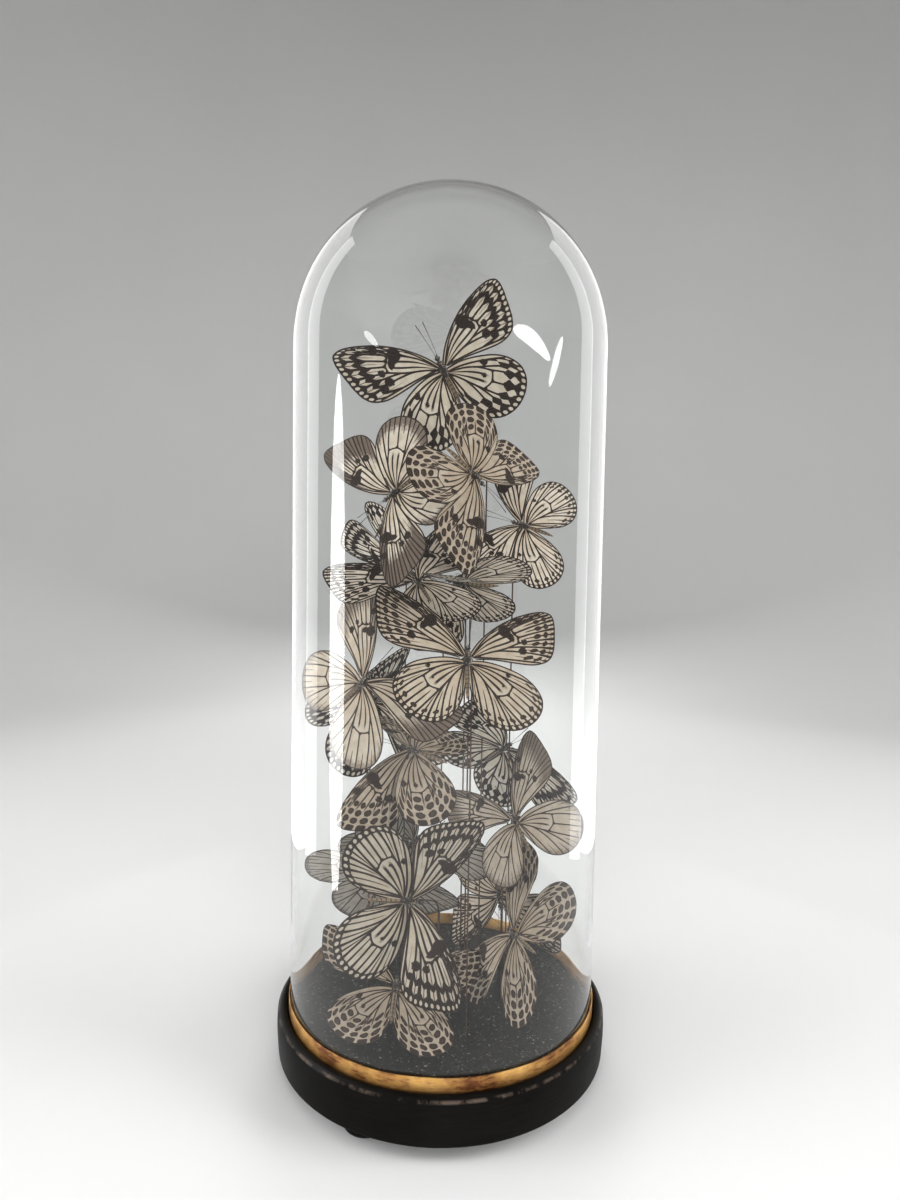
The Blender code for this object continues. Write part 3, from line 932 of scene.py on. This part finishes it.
def abdomen():
    """The slender abdomen: a ring drawn back segment by segment, a little pinched at each joint."""
    stations = 30
    profile = []
    for number in range(stations + 1):
        share = number / stations
        back = 3.0 + 24.5 * share
        round_off = math.sin(math.pi * min(share * 1.02 + 0.16, 1.0)) ** 0.55
        pinch = 1 - 0.07 * (0.5 + 0.5 * math.cos(2 * math.pi * share * 9))
        profile.append((1.5 * round_off * pinch * MM if share < 1 else 0, back * MM))
    piece = lathe("abdomen", profile, 14)
    piece.data.transform(turned(90, "X"))
    for vertex in piece.data.vertices:
        back = -vertex.co.y / MM
        vertex.co.z -= 0.0035 * max(back - 4, 0) ** 2 * MM
    return piece


def limb(points, radius, end_radius):
    """A thin tapering limb along points in millimetres."""
    curve = bpy.data.curves.new("limb", "CURVE")
    curve.dimensions = "3D"
    curve.bevel_depth = 1.0 * MM
    curve.bevel_resolution = 0
    curve.use_fill_caps = True
    spline = curve.splines.new("POLY")
    spline.points.add(len(points) - 1)
    for number, (point, place) in enumerate(zip(spline.points, points)):
        share = number / (len(points) - 1)
        point.co = (*[c * MM for c in place], 1.0)
        point.radius = radius + (end_radius - radius) * share ** 3
    pick(place_new("limb", curve))
    bpy.ops.object.convert(target="MESH")
    return bpy.context.object


def fur(count=170):
    """Short hairs standing off the thorax."""
    draw = random.Random(5)
    verts = []
    faces = []
    for _ in range(count):
        around = draw.uniform(0, 2 * math.pi)
        forward = draw.uniform(-2.6, 7.0)
        radius = 2.35 * math.sqrt(max(0.05, 1 - ((forward - 2.4) / 5.6) ** 2))
        out = Vector((math.sin(around), 0, math.cos(around)))
        foot = out * radius + Vector((0, forward, 0))
        lean = Vector((draw.uniform(-0.3, 0.3), -0.7, draw.uniform(-0.3, 0.3)))
        tip = foot + (out * 0.75 + lean).normalized() * draw.uniform(0.9, 1.7)
        side = out.cross(lean).normalized() * 0.09
        back = out * 0.12
        first = len(verts)
        verts += [(foot + side) * MM, (foot - side) * MM, (foot - back + lean * 0.1) * MM, tip * MM]
        for a, b, c in ((0, 1, 3), (1, 2, 3), (2, 0, 3), (0, 2, 1)):
            faces.append((first + a, first + b, first + c))
    mesh = bpy.data.meshes.new("fur")
    mesh.from_pydata(verts, [], faces)
    return place_new("fur", mesh)


def body_master():
    """Head, eyes, palps, thorax, abdomen, feelers, legs and fur at WING_UNIT size, +Y to the head."""
    furry = [ball((0, 2.6, 0), (2.35, 4.6, 2.2)), ball((0, 8.0, 0), (1.35, 1.3, 1.25)),
             ball((0, -1.4, -0.1), (1.75, 2.4, 1.6))]
    dark = []
    for side in (-1, 1):
        dark.append(ball((side * 1.0, 8.5, 0.15), (0.78, 0.85, 0.85), 12, 8))
        palp = [(side * 0.4, 9.0, -0.3), (side * 0.5, 10.0, 0.0), (side * 0.55, 10.9, 0.5)]
        dark.append(limb(palp, 0.32, 0.16))
        feeler = [(side * (0.5 + 0.19 * k), 9.0 + 2.0 * k, 0.6 + 0.1 * k - 0.012 * k * k) for k in range(12)]
        dark.append(limb(feeler, 0.13, 0.30))
        for x, y, z in ((4.6, 4.5, -3.6), (4.2, 0.5, -3.8)):
            leg = [(side * 1.2, y - 0.6, -1.4), (side * x, y + 0.8, z + 0.4),
                   (side * (x - 1.2), y - 5.5, z - 0.1), (side * (x - 2.6), y - 10.0, z + 0.3)]
            dark.append(limb(leg, 0.2, 0.12))
    pieces = [body_maps(abdomen(), 0.0)]
    pieces += [body_maps(piece, 1.0) for piece in furry]
    pieces.append(body_maps(fur(), 1.0))
    pieces += [body_maps(piece, 2.0) for piece in dark]
    return join(pieces, "body_master")


# ---- butterflies and wires

def facing(turn, tilt, spin):
    """Rotation of a butterfly: +X its right, +Y its head, +Z its back."""
    return turned(turn, "Z") @ turned(90 - tilt, "X") @ turned(spin, "Z")


def over_floor(x, y, height):
    """A place over the floor disc, from millimetres."""
    return Vector((x * MM, y * MM, FLOOR + height * MM))


def thorax_place(place, aim):
    """World matrix of a butterfly's thorax."""
    return Matrix.Translation(over_floor(*place)) @ facing(*aim)


def bowed_copy(master, bow, twist, curl):
    """A copy of a wing with its own slight bow along it, twist and curled margin."""
    obj = place_new("wing", master.data.copy())
    mesh = obj.data
    co = np.zeros(len(mesh.vertices) * 3, np.float32)
    mesh.vertices.foreach_get("co", co)
    co = co.reshape(-1, 3)
    x = co[:, 0] / (WING_UNIT * MM)
    y = co[:, 1] / (WING_UNIT * MM)
    co[:, 2] += (bow * x ** 2 + twist * x * y + curl * np.sin(7 * x + 3 * y) * x) * WING_UNIT * MM
    mesh.vertices.foreach_set("co", co.ravel())
    return obj


def make_butterfly(number, masters, finishes):
    """One butterfly, wings and body joined as one piece in its place."""
    kind, place, aim, lifts, sweeps, length, _ = BUTTERFLIES[number]
    draw = random.Random(int(number))
    scale = Matrix.Scale(length / WING_UNIT, 4)
    pieces = []
    for wing, root, lift, sweep in zip(("fore", "hind"), (FORE_ROOT, HIND_ROOT), lifts, sweeps):
        for side in (1, -1):
            piece = bowed_copy(masters[wing], draw.uniform(-0.035, 0.02), draw.uniform(-0.06, 0.06),
                               draw.uniform(-0.005, 0.005))
            fit = Matrix.Translation((ROOT_OUT, *root))
            fit = fit @ turned(-lift, "Y") @ turned(sweep, "Z") @ scale
            piece.data.transform(Matrix.Scale(side, 4, (1, 0, 0)) @ fit)
            if side < 0:
                piece.data.flip_normals()
            cover(piece, finishes[kind, wing])
            pieces.append(piece)
    body = place_new("body", masters["body"].data.copy())
    body.data.transform(scale)
    cover(body, finishes["body"])
    butterfly = join([body, *pieces], f"paper_kite_{number}")
    butterfly.data.transform(thorax_place(place, aim))
    finish_piece(butterfly, None, "butterfly_wing", f"butterfly_{number}", smooth=60)


def make_wire(number, material):
    """A wire bent over at its top, with the round pad that the thorax is glued to."""
    _, place, aim, _, _, _, bend = BUTTERFLIES[number]
    thorax = thorax_place(place, aim)
    pad = thorax @ Vector((0, PAD_FORWARD, -PAD_DEPTH))
    corner = over_floor(*bend)
    foot = over_floor(bend[0], bend[1], 0.2)
    arm = pad - corner
    soft = min(7 * MM, arm.length * 0.45)
    before = corner + Vector((0, 0, -soft))
    after = corner + arm.normalized() * soft
    points = [foot, foot.lerp(before, 0.5)]
    points += [before.lerp(corner, t).lerp(corner.lerp(after, t), t) for t in (0, 0.2, 0.4, 0.6, 0.8, 1)]
    points.append(pad)
    wire = limb([tuple(point / MM) for point in points], WIRE_RADIUS / MM, WIRE_RADIUS / MM)
    bpy.ops.object.select_all(action="DESELECT")
    bpy.ops.mesh.primitive_cylinder_add(vertices=24, radius=PAD_RADIUS, depth=PAD_THICKNESS)
    disc = bpy.context.object
    soften(disc, 0.25 * MM, 2)
    disc.data.transform(Matrix.Translation(pad) @ facing(*aim))
    wire = join([wire, disc], f"bent_wire_{number}")
    finish_piece(wire, material, "dark_wire", f"wire_{number}", smooth=60)


# ---- stage, lights and camera

def make_stage():
    """Pale paper laid flat under the display and curving up all round it."""
    sweep = [(0, 0), (1.3, 0)]
    sweep += [(1.3 + 0.8 * math.sin(a), 0.8 - 0.8 * math.cos(a)) for a in np.radians(range(9, 91, 9))]
    sweep.append((2.1, 2.4))
    paper = lathe("studio_paper", sweep, 96)
    paper.data.materials.append(plain_paper())
    paper.data.flip_normals()
    bpy.ops.object.shade_smooth()


def soft_light(name, place, aim, size, watts, shape="RECTANGLE", roll=0.0, seen_in_glass=False):
    """A soft light that looks at a point; either it lights the pieces or it only shines in the glass."""
    lamp = bpy.data.lights.new(name, "AREA")
    lamp.shape = shape
    lamp.size, lamp.size_y = size
    lamp.energy = watts
    obj = place_new(name, lamp)
    obj.location = place
    looking = (Vector(aim) - Vector(place)).to_track_quat("-Z", "Y")
    obj.rotation_euler = (looking @ Quaternion((0, 0, 1), math.radians(roll))).to_euler()
    obj.visible_camera = False
    obj.visible_transmission = False
    obj.visible_glossy = seen_in_glass
    obj.visible_diffuse = not seen_in_glass


def make_lights():
    """Soft lights all round, windows and pale walls that only shine in the glass, and an even air."""
    fills = (
        ("top_light", (0.0, -0.4, 1.9), 0.25, (1.4, 1.4), 8.0),
        ("front_fill", (0.1, -1.5, 0.8), 0.25, (1.0, 1.0), 8.0),
        ("low_fill", (0.0, -0.95, 0.30), 0.22, (1.0, 0.5), 6.0),
        ("left_fill", (-1.3, -0.3, 0.85), 0.25, (0.8, 0.8), 10.0),
        ("right_fill", (1.3, -0.3, 0.85), 0.25, (0.8, 0.8), 14.0),
        ("back_fill", (0.0, 1.4, 0.8), 0.25, (0.8, 0.8), 8.0),
    )
    for name, place, aim, size, watts in fills:
        soft_light(name, place, (0, 0, aim), size, watts)
    windows = (
        ("tall_window", (-0.376, -0.118, 0.243), (-0.06, -0.08, 0.243), (0.09, 0.52), 1.2, 0),
        ("right_window", (1.027, -0.704, 0.780), (0.045, -0.09, 0.447), (0.64, 0.040), 0.75, -6),
        ("right_casement", (1.196, -0.324, 0.734), (0.058, -0.082, 0.44), (0.27, 0.050), 0.32, 20),
        ("left_casement", (-1.001, -0.738, 0.775), (-0.042, -0.091, 0.448), (0.24, 0.020), 0.10, -6),
    )
    for name, place, aim, size, watts, roll in windows:
        soft_light(name, place, aim, size, watts, "ELLIPSE", roll, seen_in_glass=True)
    for name, side in (("left", -1), ("right", 1)):
        soft_light(f"{name}_wall", (side * 0.333, 0.252, 0.48), (side * 0.08, 0.04, 0.48),
                   (0.31, 0.95), 1.05, seen_in_glass=True)
        soft_light(f"{name}_curtain", (side * 0.428, 0.080, 0.48), (side * 0.08, -0.06, 0.48),
                   (0.11, 0.95), 0.70, seen_in_glass=True)
    world = bpy.data.worlds.new("studio_air")
    world.use_nodes = True
    air = world.node_tree.nodes["Background"]
    air.inputs["Color"].default_value = (0.90, 0.885, 0.87, 1)
    air.inputs["Strength"].default_value = 0.34
    bpy.context.scene.world = world


def make_camera():
    """The viewer's eye, a little above the middle of the dome."""
    camera = bpy.data.cameras.new("camera")
    camera.sensor_width = 36
    camera.lens = LENS
    camera.clip_start = 0.01
    obj = place_new("camera", camera)
    obj.matrix_world = Matrix.Translation(EYE) @ turned(90 - LOOK_DOWN, "X") @ turned(LEAN, "Z")
    bpy.context.scene.camera = obj


def main():
    make_camera()
    make_lights()
    make_stage()
    black = ebonised_wood()
    make_base(black)
    make_feet(black)
    make_floor(painted_board())
    make_band(gold_ribbon())
    make_glass(clear_glass())
    masters = {
        "fore": wing_master("fore_master", FORE_OUTLINE, FORE_VEINS),
        "hind": wing_master("hind_master", HIND_OUTLINE, HIND_VEINS),
        "body": body_master(),
    }
    finishes = {(kind, wing): wing_finish(kind, wing) for kind in PATTERNS for wing in ("fore", "hind")}
    finishes["body"] = body_finish()
    varnish = dark_wire()
    for number in BUTTERFLIES:
        make_butterfly(number, masters, finishes)
        make_wire(number, varnish)
    for master in masters.values():
        bpy.data.objects.remove(master, do_unlink=True)
    view = bpy.context.scene.view_settings
    view.view_transform = "Standard"
    view.exposure = 0.30
    view.gamma = 0.82


main()
